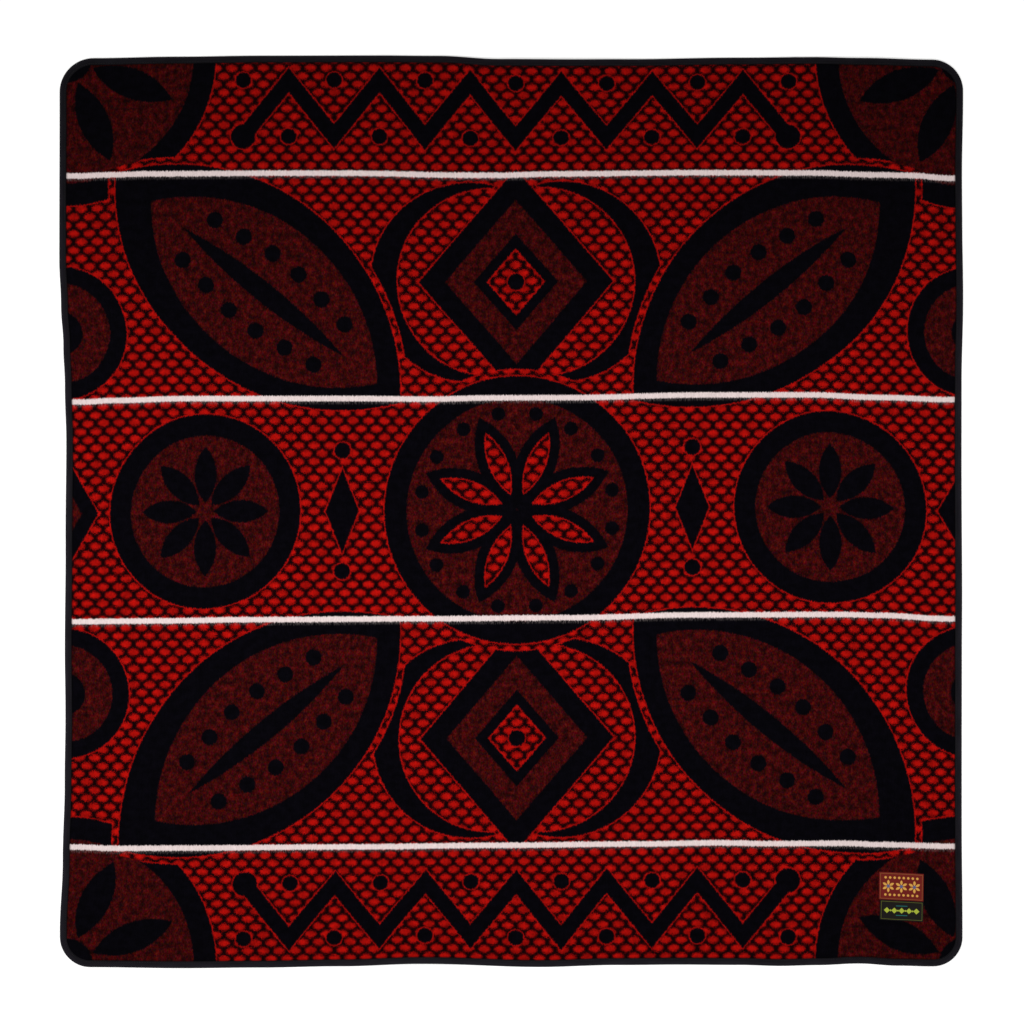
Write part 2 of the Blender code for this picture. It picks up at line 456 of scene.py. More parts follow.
# Grains of noise, in millimetres. Fibres lie down the blanket, so the nap's grains are longer that way.
Grain = namedtuple("Grain", "across along detail")
TUFTS = Grain(2.6, 5.5, 2.0)
FIBRES = Grain(0.6, 2.4, 2.0)
FLECKS = Grain(1.5, 4.0, 2.0)
BLOTCHES = Grain(9.0, 12.0, 4.0)
HUES = Grain(3.4, 4.2, 2.0)
STREAKS = Grain(3.0, 16.0, 2.0)
DYE_LOTS = Grain(17.0, 12.0, 3.0)
WISPS = Grain(1.6, 9.0, 2.0)
TAPE_THREADS = Grain(1.2, 0.9, 2.0)
TAPE_WEAR = Grain(40.0, 9.0, 3.0)
LABEL_STRANDS = Grain(0.5, 0.8, 1.0)


def mottle(tree, spot, grain, out="Fac"):
    """Soft noise of one grain."""
    scaled = add(tree, "VectorMath", [spot, (grain.across, grain.along, 1)], "DIVIDE")
    feeds = {"Vector": scaled, "Scale": 1.0, "Detail": grain.detail, "Roughness": 0.55}
    return add(tree, "TexNoise", feeds, out=out, noise_dimensions="2D")


def rib_scale(spacing, axes=1):
    """The Wave node's scale for ribs this far apart: straight ones, or ones that slant over 2 or 3 axes."""
    return 2 * pi / (spacing * (20 if axes == 1 else 10 * axes**0.5))


class Figure:
    """A woven figure as distances in millimetres, below zero inside its black outlines or its fillings."""

    def __init__(self, tree, spot):
        self.add = partial(add, tree)
        self.worked = partial(worked, tree)
        self.spot = spot
        self.black = None
        self.heather = None

    def about(self, x, y, turn=0.0):
        """Places read from a motif's own centre, folded so that its quarters match."""
        shift = [self.spot, (x, y, 0), (0, 0, radians(turn))]
        return self.add("VectorMath", [self.add("Mapping", shift, vector_type="TEXTURE")], "ABSOLUTE")

    def disc(self, x, y, radius, spot=None):
        """A round spot."""
        middle = [self.spot if spot is None else spot, (x, y, 0)]
        return self.worked("Math", self.add("VectorMath", middle, "DISTANCE", out=1), ("SUBTRACT", radius))

    def leaf(self, spot, length, width):
        """A leaf with two points: what two equal circles share."""
        radius = (length**2 + width**2) / (4 * width)
        return self.disc(0, width / 2 - radius, radius, spot)

    def leaves(self, x, y, reach, turns, length, width):
        """Leaves round a middle, this far from it."""
        return [self.leaf(self.about(*around(x, y, reach, turn), turn), length, width) for turn in turns]

    def lozenge(self, spot, width, height):
        """A lozenge that stands on its point."""
        slope = 1 / hypot(2 / width, 2 / height)
        along = (slope * 2 / width, slope * 2 / height, 0)
        sloping = self.add("VectorMath", [spot, along], "DOT_PRODUCT", out=1)
        return self.worked("Math", sloping, ("SUBTRACT", slope))

    def outside(self, shape, by=0.0):
        """Everything that lies further than this from a shape."""
        return self.worked("Math", shape, ("MULTIPLY_ADD", -1.0, by))

    def either(self, drawn, shape):
        """Everything that lies inside a shape or in what is drawn already, if anything is."""
        return shape if drawn is None else self.worked("Math", drawn, ("MINIMUM", shape))

    def draw(self, *shapes):
        """Weaves shapes in solid black."""
        for shape in shapes:
            self.black = self.either(self.black, shape)

    def fill(self, shape):
        """Weaves a shape in heather."""
        self.heather = self.either(self.heather, shape)

    def clear(self, shape, gap):
        """Takes a shape and a gap round it back to the net ground."""
        beyond = self.outside(shape, gap)
        self.black = self.worked("Math", self.black, ("MAXIMUM", beyond))
        if self.heather is not None:
            self.heather = self.worked("Math", self.heather, ("MAXIMUM", beyond))

    def panel(self, shape, band, gap=None):
        """A heather panel inside a black outline, set off by a gap where it lies over other motifs."""
        if gap is not None:
            self.clear(shape, gap)
        self.draw(self.worked("Math", shape, ("MAXIMUM", self.outside(shape, -band))))
        self.fill(self.worked("Math", shape, ("ADD", band)))

    def window(self, shape, line):
        """An opening in a panel that shows the net ground inside a black line."""
        self.draw(self.worked("Math", shape, ("ADD", line / 2), ("ABSOLUTE",), ("SUBTRACT", line / 2)))
        self.heather = self.worked("Math", self.heather, ("MAXIMUM", self.outside(shape, -2.0)))


DOT = 14.5


def zigzag(figure):
    """The zigzag band and its dots, above and below the outer stripes."""
    half_wave, middle, rise, thick = 80.0, 706.0, 50.0, 28.0
    slope, end = 2 * rise / half_wave, 6 * half_wave
    x, y = (figure.add("SeparateXYZ", [figure.spot], out=axis) for axis in "XY")
    wave = figure.worked("Math", x, ("PINGPONG", half_wave))
    stroke = figure.worked(
        "Math",
        wave,
        ("MULTIPLY_ADD", -slope, rise - middle),
        ("ADD", y),
        ("MULTIPLY", 1 / hypot(1, slope)),
        ("ABSOLUTE",),
        ("SUBTRACT", thick / 2),
        ("MAXIMUM", figure.worked("Math", x, ("SUBTRACT", end))),
    )
    folded = figure.add("CombineXYZ", [wave, y])
    figure.draw(
        stroke,
        figure.disc(end, middle - rise, 22),
        figure.disc(0, middle + rise, 14, folded),
        figure.disc(half_wave, middle - rise, 14, folded),
    )


def moons(figure):
    """The crescents that stand on either side of the upper and lower lozenges."""
    outer, inner = figure.disc(80, 402, 176), figure.disc(44, 402, 166)
    figure.draw(figure.worked("Math", outer, ("MAXIMUM", figure.outside(inner))))


def corner_fans(figure):
    """A quarter ring in each corner with two leaves that spread from it."""
    x, y = 790.0, 800.0
    figure.panel(figure.disc(x, y, 262), 40, gap=28)
    figure.draw(*figure.leaves(x, y, -124.0, (22.5, 67.5), 152, 54), figure.disc(x, y, 44))


def side_buds(figure):
    """Half rings and half lozenges along the two side edges."""
    x, y = 806, 318
    figure.panel(figure.disc(x, y, 116), 30)
    figure.draw(figure.disc(x, y, 38))
    figure.panel(figure.lozenge(figure.about(800, 0), 110, 190), 26)


def great_leaves(figure):
    """The four large leaves on the diagonals, heavier at their outer points, with a midrib and dots."""
    x, y, turn, back = 456.0, 392.0, 39.0, 14.0
    outer = figure.leaf(figure.about(x, y, turn), 640, 330)
    figure.clear(outer, 12)
    middle = figure.about(*around(x, y, -back, turn), turn)
    inner = figure.leaf(middle, 506, 244)
    figure.draw(figure.worked("Math", outer, ("MAXIMUM", figure.outside(inner))))
    figure.fill(inner)
    dots = (figure.disc(along, across, DOT, middle) for along, across in ((29, 63), (87, 54), (145, 45)))
    figure.draw(figure.leaf(middle, 360, 36), *dots)


def nested_lozenges(figure):
    """The lozenges above and below the middle, each with a smaller one in it that shows the net."""
    spot = figure.about(0, 402)
    figure.panel(figure.lozenge(spot, 344, 400), 36, gap=8)
    figure.window(figure.lozenge(spot, 150, 172), 18)
    figure.draw(figure.disc(0, 0, 15, spot))


def side_blossoms(figure):
    """The round panels at left and right, each with eight small leaves, and the marks beside them."""
    x, marks = 555.0, 311
    figure.panel(figure.disc(x, 0, 170), 38, gap=10)
    figure.draw(*figure.leaves(x, 0, 64.0, range(0, 225, 45), 98, 40))
    figure.draw(figure.lozenge(figure.about(marks, 0), 60, 150), figure.disc(marks, 106, DOT))


def middle_rosette(figure):
    """The round panel in the middle: eight open leaves inside a ring of dots."""
    figure.panel(figure.disc(0, 0, 236), 40, gap=12)
    for leaf in figure.leaves(0, 0, 88.0, (22.5, 67.5), 176, 70):
        figure.window(leaf, 18)
    for turn in (11.25, 33.75, 56.25, 78.75):
        figure.draw(figure.disc(*around(0, 0, 172, turn), 12.5))


# In the order they are drawn: a later one may clear its place among those before it.
MOTIFS = (
    zigzag,
    moons,
    corner_fans,
    side_buds,
    great_leaves,
    nested_lozenges,
    side_blossoms,
    middle_rosette,
)


def net_of_ovals(tree, spot):
    """The ground: rows of pointed ovals, each row half a step along from the next. 1 inside an oval."""
    across, along = sizes().net_across / MM, sizes().net_along / MM
    half_width, half_height = 0.351 * across, 0.415 * along
    cells = add(tree, "VectorMath", [spot, (across, along, 1)], "DIVIDE")
    column, row = (add(tree, "SeparateXYZ", [cells], out=axis) for axis in "XY")
    half_steps = (("ROUND",), ("FLOORED_MODULO", 2.0), ("MULTIPLY_ADD", 0.5, column))
    column = worked(tree, "Math", row, *half_steps)
    reach_x = (("PINGPONG", 0.5), ("MULTIPLY", across / half_width), ("POWER", 1.25))
    reach_y = (("PINGPONG", 0.5), ("MULTIPLY", along / half_height), ("POWER", 1.85))
    reach_x, reach_y = worked(tree, "Math", column, *reach_x), worked(tree, "Math", row, *reach_y)
    return inside(tree, worked(tree, "Math", reach_x, ("ADD", reach_y), ("SUBTRACT", 1.0)), 0.3)


def nearest_stripe(tree, y, shift):
    """Distance to the middle of the nearest woven stripe, read this far above the place."""
    first, *others = (
        worked(tree, "Math", y, ("ADD", shift - stripe.place), ("ABSOLUTE",)) for stripe in STRIPES
    )
    return worked(tree, "Math", first, *(("MINIMUM", away) for away in others))


# How far brushing pulls what is woven, in millimetres across and along: tuft by tuft, then fibre by fibre
TUFT_PULL = (3.0, 4.2, 0)
OUTLINE_TUFT_PULL = (1.5, 2.0, 0)
OUTLINE_FIBRE_PULL = (2.0, 4.5, 0)
NET_FIBRE_PULL = (8.0, 17.0, 0)
FIGURE_MIDDLE = (8.0, 4.0, 0)
FIGURE_SOFTNESS = 1.3
# The middle of the best-lit band; painted shade darkens the cloth away from it, towards both ends
PAINTED_LIGHT_PEAK_Y = -150.0


def brushed_wool(name, figure_colour, net_colour, ground_colour):
    """Brushed wool double cloth. Its raised fibres lie down the blanket, so that every edge of the figure
    is ragged, its fillings are heathered in short streaks and white fibres dust the black below stripes."""
    material, tree, shader = start_material(name, roughness=0.96, sheen=0.01, gloss=0.01)
    chosen = colours()
    place = flat_place(tree)

    # Brushing moves each tuft a little, more along the blanket than across.
    half = (0.5, 0.5, 0.5)
    tufts = worked(tree, "VectorMath", mottle(tree, place, TUFTS, out="Color"), ("SUBTRACT", half))
    fibres = worked(tree, "VectorMath", mottle(tree, place, FIBRES, out="Color"), ("SUBTRACT", half))
    ragged = worked(tree, "VectorMath", tufts, ("MULTIPLY_ADD", TUFT_PULL, place))
    centred = worked(tree, "VectorMath", ragged, ("SUBTRACT", FIGURE_MIDDLE))
    tufted = worked(tree, "VectorMath", tufts, ("MULTIPLY_ADD", OUTLINE_TUFT_PULL, centred))
    outlined = (("MULTIPLY_ADD", OUTLINE_FIBRE_PULL, tufted), ("ABSOLUTE",))
    figure = Figure(tree, worked(tree, "VectorMath", fibres, *outlined))
    for motif in MOTIFS:
        motif(figure)

    fine = mottle(tree, place, FLECKS)
    flecks = worked(tree, "Math", fine, ("MULTIPLY_ADD", 0.5, mottle(tree, place, BLOTCHES)))
    redness = worked(tree, "Math", add(tree, "MapRange", [flecks, 0.5, 1.0, 0.0, 1.0]), ("POWER", 1.5))
    heather = layered(tree, with_alpha(chosen.heather_dark), (redness, with_alpha(chosen.heather_light)))
    # Rust and plum fibres are carded in among the red.
    hues = mottle(tree, place, HUES, out="Color")
    hues = worked(
        tree,
        "VectorMath",
        hues,
        ("MULTIPLY_ADD", (0, 6.0, 6.0), (1, -1.95, -1.95)),
        ("MAXIMUM", (0, 0.1, 0.1)),
    )
    heather = worked(tree, "VectorMath", heather, ("MULTIPLY", hues))

    # Single fibres are drawn further across the thin lines of the net.
    netted = worked(tree, "VectorMath", fibres, ("MULTIPLY_ADD", NET_FIBRE_PULL, centred))
    near_figure = worked(tree, "Math", figure.black, ("MINIMUM", figure.heather), ("SUBTRACT", 1.5))
    under_outline = worked(tree, "Math", figure.heather, ("SUBTRACT", 2.5))
    cloth = layered(
        tree,
        net_colour,
        (net_of_ovals(tree, netted), ground_colour),
        (inside(tree, near_figure, 0.9), ground_colour),
        (inside(tree, under_outline, FIGURE_SOFTNESS), heather),
        (inside(tree, figure.black, FIGURE_SOFTNESS), figure_colour),
    )

    # No two tufts take the dye alike; painted shade also darkens the cloth towards both ends, away from the
    # best-lit band across its middle.
    streaks = mottle(tree, place, STREAKS)
    strands = worked(tree, "Math", streaks, ("ADD", fine))
    y = add(tree, "SeparateXYZ", [ragged], out="Y")
    end_shade_reach = worked(tree, "Math", y, ("ADD", -PAINTED_LIGHT_PEAK_Y), ("ABSOLUTE",))
    tone = worked(
        tree,
        "Math",
        add(tree, "MapRange", [strands, 0.7, 1.3, 0.82, 1.18]),
        ("MULTIPLY", add(tree, "MapRange", [mottle(tree, place, DYE_LOTS), 0.3, 0.7, 0.72, 1.28])),
        ("MULTIPLY", add(tree, "MapRange", [end_shade_reach, 450.0, 870.0, 1.0, 0.84])),
    )
    cloth = add(tree, "VectorMath", {0: cloth, "Scale": tone}, "SCALE")

    # The white stripes, and below each the fibres that were brushed down from it
    half_stripe = sizes().stripe_width / MM / 2
    whiteness = add(tree, "MapRange", [strands, 0.7, 1.3, 0.9, 1.1])
    white = add(tree, "VectorMath", {0: chosen.white, "Scale": whiteness}, "SCALE")
    dust = worked(tree, "Math", nearest_stripe(tree, y, half_stripe + 1.0), ("SUBTRACT", 3.0))
    wisps = add(tree, "MapRange", [mottle(tree, place, WISPS), 0.42, 0.7, 0.0, 0.13])
    dusting = worked(tree, "Math", inside(tree, dust, 3.0), ("MULTIPLY", wisps))
    stripe = worked(tree, "Math", nearest_stripe(tree, y, 0.0), ("SUBTRACT", half_stripe))
    cloth = layered(tree, cloth, (dusting, white), (inside(tree, stripe, 1.5), white))

    # Painted shade: the cloth is darkened close beside the tape, where the tape's raised edge shades it and
    # the pile is pressed down.
    beyond = worked(tree, "VectorMath", place, ("ABSOLUTE",), ("SUBTRACT", (WIDTH / 2, LENGTH / 2, 0)))
    sides = [add(tree, "SeparateXYZ", [beyond], out=axis) for axis in "XY"]
    tape_shade_reach = add(tree, "Math", sides, "MAXIMUM")
    colour_with_shade(tree, shader, cloth, add(tree, "MapRange", [tape_shade_reach, -15.0, -11.5, 1.0, 0.3]))
    texture(tree, shader, worked(tree, "Math", flecks, ("ADD", streaks)), strength=0.7, depth=0.9)
    return material


def woven_tape(name, ground):
    """Dull cotton tape in a close twill: slanting ribs, 1.1 mm apart on the real tape and drawn at 2.8 mm
    so that they show, with a painted highlight along its fold and painted shade towards its seam."""
    material, tree, shader = start_material(name, roughness=0.85, sheen=0.02, gloss=0.05)
    place = flat_place(tree)
    feeds = {"Vector": place, "Scale": rib_scale(2.8, axes=2), "Distortion": 0.6, "Detail": 1.0}
    ribs = add(tree, "TexWave", feeds, bands_direction="DIAGONAL")
    relief = worked(tree, "Math", ribs, ("ADD", mottle(tree, place, TAPE_THREADS)))
    # Painted highlight along the rounded fold, fading into painted shade towards the seam
    fold = 13.9
    across = add(tree, "SeparateXYZ", [place], out="Y")
    fold_highlight_reach = worked(tree, "Math", across, ("SUBTRACT", fold), ("ABSOLUTE",))
    # Painted shade: the tape is darkened towards its upper end, where the light is weaker.
    upward = add(tree, "SeparateXYZ", [add(tree, "TexCoord", out="Object")], out="Y")
    # The tone is lighter on raised ribs and threads and darker between them: partly the threads' own
    # variation, partly painted shade in the grooves.
    tone = worked(
        tree,
        "Math",
        add(tree, "MapRange", [relief, 0.3, 1.6, 0.62, 1.3]),
        ("MULTIPLY", add(tree, "MapRange", [mottle(tree, place, TAPE_WEAR), 0.3, 0.7, 0.8, 1.2])),
        ("MULTIPLY", add(tree, "MapRange", [fold_highlight_reach, 1.0, 12.0, 1.95, 0.72])),
        ("MULTIPLY", add(tree, "MapRange", [upward, 0.2, 0.76, 1.0, 0.72])),
    )
    colour_with_shade(tree, shader, ground, tone)
    texture(tree, shader, relief, strength=0.6, depth=0.25)
    return material


def sewing_thread(name, colour):
    """Spun polyester thread, twisted so that fine slanting ridges, 0.4 mm apart, catch the light."""
    material, tree, shader = start_material(name, roughness=0.6, sheen=0.1)
    shader.inputs["Base Color"].default_value = with_alpha(colour)
    place = add(tree, "TexCoord", out="Object")
    feeds = {"Vector": place, "Scale": rib_scale(0.4 * MM, axes=3), "Distortion": 0.2}
    twist = add(tree, "TexWave", feeds, bands_direction="DIAGONAL")
    texture(tree, shader, twist, strength=0.5, depth=0.08)
    return material


def label_frame(figure, width, height, line):
    """A thin woven line along a rectangle about the label's middle."""
    beyond = figure.add("VectorMath", [figure.about(0, 0), (width / 2, height / 2, 0)], "SUBTRACT")
    x, y = (figure.add("SeparateXYZ", [beyond], out=axis) for axis in "XY")
    figure.draw(figure.worked("Math", x, ("MAXIMUM", y), ("ABSOLUTE",), ("SUBTRACT", line / 2)))


def upper_ornament(main, accent):
    """Three blossoms of six petals round a spot, with a row of dots over and under them."""
    for x in (-23, 0, 23):
        main.draw(*main.leaves(x, 0, 6.8, range(30, 390, 60), 8.8, 4.4))
        accent.draw(accent.disc(x, 0, 3.2))
    quarter = main.about(0, 0)
    main.draw(*(main.disc(x, 15.5, 2.2, quarter) for x in (4, 12, 20, 28)))


def lower_ornament(main, accent):
    """A row of lozenges with small ones between them, and a bar over and under it."""
    main.draw(*(main.lozenge(main.about(x, 0), 10.5, 10.5) for x in (-26, -13, 0, 13, 26)))
    main.draw(*(main.lozenge(main.about(x, 0), 3.8, 3.8) for x in (-19.5, -6.5, 6.5, 19.5)))
    label_frame(accent, 60, 17, 1.4)
    beside = accent.add("SeparateXYZ", [accent.about(0, 0)], out="X")
    beyond = accent.worked("Math", beside, ("SUBTRACT", 10.0))
    accent.black = accent.worked("Math", accent.black, ("MAXIMUM", beyond))


def woven_label(label, ground, threads, ornament):
    """Polyester damask label: a fine satin face with weft ribs 0.5 mm apart, drawn at 1 mm so that they
    show, and an ornament in two brighter threads inside a thin frame."""
    name = label.node + "_polyester_damask"
    material, tree, shader = start_material(name, roughness=0.6, sheen=0.02, gloss=0.04)
    place = flat_place(tree)
    edging, main, accent = (Figure(tree, place) for _ in range(3))
    label_frame(edging, label.width - 2 * FRAME_INSET, label.height - 2 * FRAME_INSET, 0.6)
    ornament(main, accent)
    strands = mottle(tree, place, LABEL_STRANDS)
    cover = add(tree, "MapRange", [strands, 0.3, 0.6, 0.7, 1.0])
    face = with_alpha(ground)
    woven = ((edging, threads[0], 0.32), (accent, threads[1], 1.0), (main, threads[0], 1.0))
    for figure, thread, share in woven:
        covered = (("MULTIPLY", cover), ("MULTIPLY", share))
        shown = worked(tree, "Math", inside(tree, figure.black, 0.3), *covered)
        face = layered(tree, face, (shown, with_alpha(thread)))
    feeds = {"Vector": place, "Scale": rib_scale(1.0), "Distortion": 0.15}
    relief = worked(tree, "Math", add(tree, "TexWave", feeds, bands_direction="Y"), ("ADD", strands))
    # The tone is lighter on raised ribs and strands and darker between them: partly the strands' own
    # variation, partly painted shade in the grooves.
    colour_with_shade(tree, shader, face, add(tree, "MapRange", [relief, 0.2, 1.6, 0.75, 1.2]))
    texture(tree, shader, relief, strength=0.5, depth=0.12)
    return material


def studio_floor():
    """Matt white acrylic, lit a little from below, so that it stays white round the cloth."""
    material, _, shader = start_material("matt_white_acrylic", roughness=0.9)
    shader.inputs["Emission Color"].default_value = (1, 1, 1, 1)
    shader.inputs["Emission Strength"].default_value = 0.5
    shader.inputs["Base Color"].default_value = with_alpha(colours().floor)
    return material


def show(name, mesh, *materials):
    """Puts a finished mesh in the scene, where it moves with the blanket."""
    for material in materials:
        mesh.materials.append(material)
    piece = bpy.data.objects.new(name, mesh)
    bpy.context.scene.collection.objects.link(piece)
    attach(piece, "root")
    return piece


def smooth_mesh(name, points, faces, flats=()):
    """A smoothly shaded mesh, with a UV map where there is a flat place for each face corner."""
    mesh = bpy.data.meshes.new(name)
    mesh.from_pydata(points, [], faces)
    if flats:
        flat = mesh.uv_layers.new(name="flat").data
        for corner, place in zip(flat, flats):
            corner.uv = place
    for face in mesh.polygons:
        face.use_smooth = True
    return mesh


def spaced(reach, near_edge, step):
    """Places from -reach to reach: as listed near both ends and evenly spread between them."""
    inner = reach - near_edge[-1]
    steps = round(2 * inner / step)
    middle = [-inner + 2 * inner * index / steps for index in range(1, steps)]
    return [edge - reach for edge in near_edge] + middle + [reach - edge for edge in reversed(near_edge)]


Cell = namedtuple("Cell", "upper lower flat")


def closed_sheet(name, rows, two_faced=False):
    """A closed shell from rows of cells. When it is two-faced, its lower faces take the second material."""
    wide = len(rows[0])
    cells = [cell for row in rows for cell in row]
    below = len(cells)
    starts = (row * wide + column for row, column in product(range(len(rows) - 1), range(wide - 1)))
    upper = [(start, start + 1, start + wide + 1, start + wide) for start in starts]
    lower = [tuple(index + below for index in reversed(face)) for face in upper]
    rim = [
        *range(wide),
        *range(2 * wide - 1, below, wide),
        *range(below - 2, below - wide - 1, -1),
        *range(below - 2 * wide, 0, -wide),
    ]
    side = [(far, near, near + below, far + below) for near, far in zip(rim, rim[1:] + rim[:1])]
    faces = upper + lower + side
    points = [cell.upper for cell in cells] + [cell.lower for cell in cells]
    flats = [cells[index % below].flat for face in faces for index in face]
    mesh = smooth_mesh(name, points, faces, flats)
    if two_faced:
        for face in mesh.polygons[len(upper) : 2 * len(upper)]:
            face.material_index = 1
    return mesh


def near_labels(x, y):
    """1 beside and under the labels, where the cloth is held flat, and 0 away from them."""
    over_x = abs(x - UPPER_LABEL.centre_x) - HELD_HALF_WIDTH
    over_y = abs(y - (UPPER_LABEL.centre_y + LOWER_LABEL.centre_y) / 2) - HELD_HALF_HEIGHT
    return 1 - smooth(0, HELD_FADE, max(over_x, over_y))


def cloth_cell(x, y):
    """The cloth's two faces at one place: thin under the tape, and a little puckered beside its seam."""
    away = edge_distance(x, y)
    opened = smooth(OPENS_FROM, OPENS_TO, away)
    full_half = sizes().cloth_thick / MM / 2
    middle = TAPE_MIDDLE + (full_half - TAPE_MIDDLE) * opened
    half = PINCHED_HALF + (full_half - PINCHED_HALF) * opened
    pucker = uneven(x, y, SEAM_PUCKER) * exp(-(((away - PUCKER_INSET) / PUCKER_SPREAD) ** 2))
    swell = uneven(x, y, *CLOTH_SWELLS)
    over = (pucker + swell * opened) * (1 - near_labels(x, y)) if away > HEM_INSET else 0.0
    raised = lift(x, y)
    upper = placed(x, y, middle + half + over + raised)
    return Cell(upper, placed(x, y, middle - half + raised), (x * MM, y * MM))


def make_cloth():
    """The wool cloth, a closed sheet with its figure on both faces, red and black exchanged underneath."""
    step = sizes().cloth_step / MM
    columns = [(x, smooth(-0.5, 0.5, x / WIDTH)) for x in spaced(WIDTH / 2 - CLOTH_INSET, CLOTH_EDGE, step)]
    rows = []
    for y in spaced(LENGTH / 2 - CLOTH_INSET, CLOTH_EDGE, step):
        left, right = corner_cut(-1, y), corner_cut(1, y)
        rows.append(
            [cloth_cell(x + left * (1 - rightward) - right * rightward, y) for x, rightward in columns]
        )
    chosen = colours()
    red, black, net_black = (with_alpha(c) for c in (chosen.red, chosen.black, chosen.net_black))
    piece = show(
        "wool_cloth",
        closed_sheet("wool_cloth", rows, two_faced=True),
        brushed_wool("brushed_wool_face", black, net_black, red),
        brushed_wool("brushed_wool_reverse", red, red, net_black),
    )
    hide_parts("cloth")


# One point of the folded tape cut across: how far in, how high, how much of a pucker it takes, and whether
# the tape's end lies over it
TapePoint = namedtuple("TapePoint", "inset height loose lapped", defaults=(0.0, False))
TAPE_BELOW = table(
    TapePoint,
    *((FOLD_RADIUS, 0.0), (8.7, 0.0), (SEAM_INSET, 0.45), (10.7, 0.0), (12.1, 0.0), (12.1, 1.1)),
)
TAPE_WITHIN = table(
    TapePoint,
    *((1.2, 1.1), (1.0, TAPE_MIDDLE), (1.2, 3.75), (7.0, 4.1, 0.8), (SEAM_INSET, 3.65), (12.1, 3.65)),
)


def tape_section():
    """The folded tape cut across, from the upper hem round the fold, along the floor and back inside."""
    face = [
        TapePoint(row.inset, row.height, 0.0 if row.inset > HELD_FROM else 1.0, True)
        for row in reversed(TAPE_FACE)
    ]
    fold = []
    for step in range(1, 2 * FOLD_STEPS):
        turn = radians(90 - 90 * step / FOLD_STEPS)
        inset, height = FOLD_RADIUS * (1 - cos(turn)), TAPE_MIDDLE * (1 + sin(turn))
        fold.append(TapePoint(inset, height, max(sin(turn), 0.0), turn > 0))
    return [*face, *fold, *TAPE_BELOW, *TAPE_WITHIN]


def lap(spot):
    """Extra height where the tape's end is turned under and laid over its start."""
    if spot.inward_y > -0.9 or not LAP_START < spot.x < LAP_END:
        return 0.0
    return LAP_HEIGHT * smooth(LAP_START, LAP_START + LAP_SLOPE, spot.x)


def running_lengths(places):
    """How far along a closed line each of its places lies, and then the whole length."""
    lengths = [0.0]
    for near, far in zip(places, places[1:] + places[:1]):
        lengths.append(lengths[-1] + hypot(far[0] - near[0], far[1] - near[1]))
    return lengths


def make_binding():
    """One cotton tape folded over the edge all the way round, with its ends lapped on the top edge."""
    section = tape_section()
    spots = outline(0, sizes().tape_step / MM)
    points = []
    for spot in spots:
        raised = lift(spot.x, spot.y)
        over = lap(spot)
        pucker = uneven(spot.x, spot.y, *TAPE_PUCKERS)
        for point in section:
            x, y = spot.x + point.inset * spot.inward_x, spot.y + point.inset * spot.inward_y
            height = point.height + point.loose * pucker + raised + over * point.lapped
            points.append(placed(x, y, height))

    along = [length * MM for length in running_lengths(spots)]
    across = [length * MM for length in running_lengths(section)]
    wide = len(section)
    faces, flats = [], []
    for station, index in product(range(len(spots)), range(wide)):
        here, there = station * wide, (station + 1) % len(spots) * wide
        beside = (index + 1) % wide
        faces.append((here + index, here + beside, there + beside, there + index))
        near, far = along[station : station + 2]
        side, next_side = across[index : index + 2]
        flats += [(near, side), (near, next_side), (far, next_side), (far, side)]
    mesh = smooth_mesh("edge_tape", points, faces, flats)
    piece = show("edge_tape", mesh, woven_tape("cotton_tape", colours().tape))
    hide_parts("binding")


def one_stitch():
    """One sewn stitch: a short round of thread that lies on the cloth and dives into it at both ends."""
    length, thick = sizes().stitch_length, sizes().thread_thick
    middle_share, dive, taper = 0.6, 0.75, 0.6
    bpy.ops.object.select_all(action="DESELECT")
    bpy.ops.mesh.primitive_cylinder_add(
        vertices=5,
        radius=thick / 2,
        depth=length * middle_share,
        rotation=(0, pi / 2, 0),
        end_fill_type="NGON",
    )
    stitch = bpy.context.object
    bpy.ops.object.transform_apply(rotation=True)
    for end in (1, -1):
        bpy.ops.object.mode_set(mode="EDIT")
        bpy.ops.mesh.select_mode(type="FACE")
        bpy.ops.mesh.select_all(action="DESELECT")
        edited = bmesh.from_edit_mesh(stitch.data)
        for face in edited.faces:
            face.select = face.normal.x * end > 0.9
        bmesh.update_edit_mesh(stitch.data)
        bpy.ops.mesh.extrude_region_move(
            TRANSFORM_OT_translate={"value": (end * length * 0.2, 0, -thick * dive)}
        )
        bpy.ops.transform.resize(value=(1, taper, taper))
        bpy.ops.object.mode_set(mode="OBJECT")
    points = [vert.co.copy() for vert in stitch.data.vertices]
    # Extruding leaves the faces in another order on each run.
    faces = sorted(tuple(face.vertices) for face in stitch.data.polygons)
    bpy.data.objects.remove(stitch, do_unlink=True)
    return points, faces


def lay_stitches(name, places, material):
    """Copies one stitch to every place, each copy with its own points, in one mesh."""
    stitch_points, stitch_faces = one_stitch()
    points, faces = [], []
    for place in places:
        start = len(points)
        points += [place @ point for point in stitch_points]
        faces += [tuple(start + index for index in face) for face in stitch_faces]
    show(name, smooth_mesh(name, points, faces), material)


def make_tape_stitches():
    """The lockstitch seam that holds the tape, on its upper and on its lower face."""
    places = []
    for spot in outline(SEAM_INSET, sizes().stitch_step / MM):
        # A hand-guided seam wavers a little.
        stray = uneven(spot.x, spot.y, SEAM_WAVER)
        x, y = spot.x + stray * spot.inward_x, spot.y + stray * spot.inward_y
        raised = lift(spot.x - SEAM_INSET * spot.inward_x, spot.y - SEAM_INSET * spot.inward_y)
        turn = Matrix.Rotation(atan2(-spot.inward_x, spot.inward_y), 4, "Z")
        upper = Matrix.Translation(placed(x, y, SEAM_HEIGHT + raised + lap(spot)))
        lower = Matrix.Translation(placed(x, y, SEAM_HEIGHT_BELOW + raised))
        places += [upper @ turn, lower @ turn @ Matrix.Rotation(pi, 4, "X")]
    lay_stitches("tape_stitches", places, sewing_thread("black_polyester_thread", colours().thread))


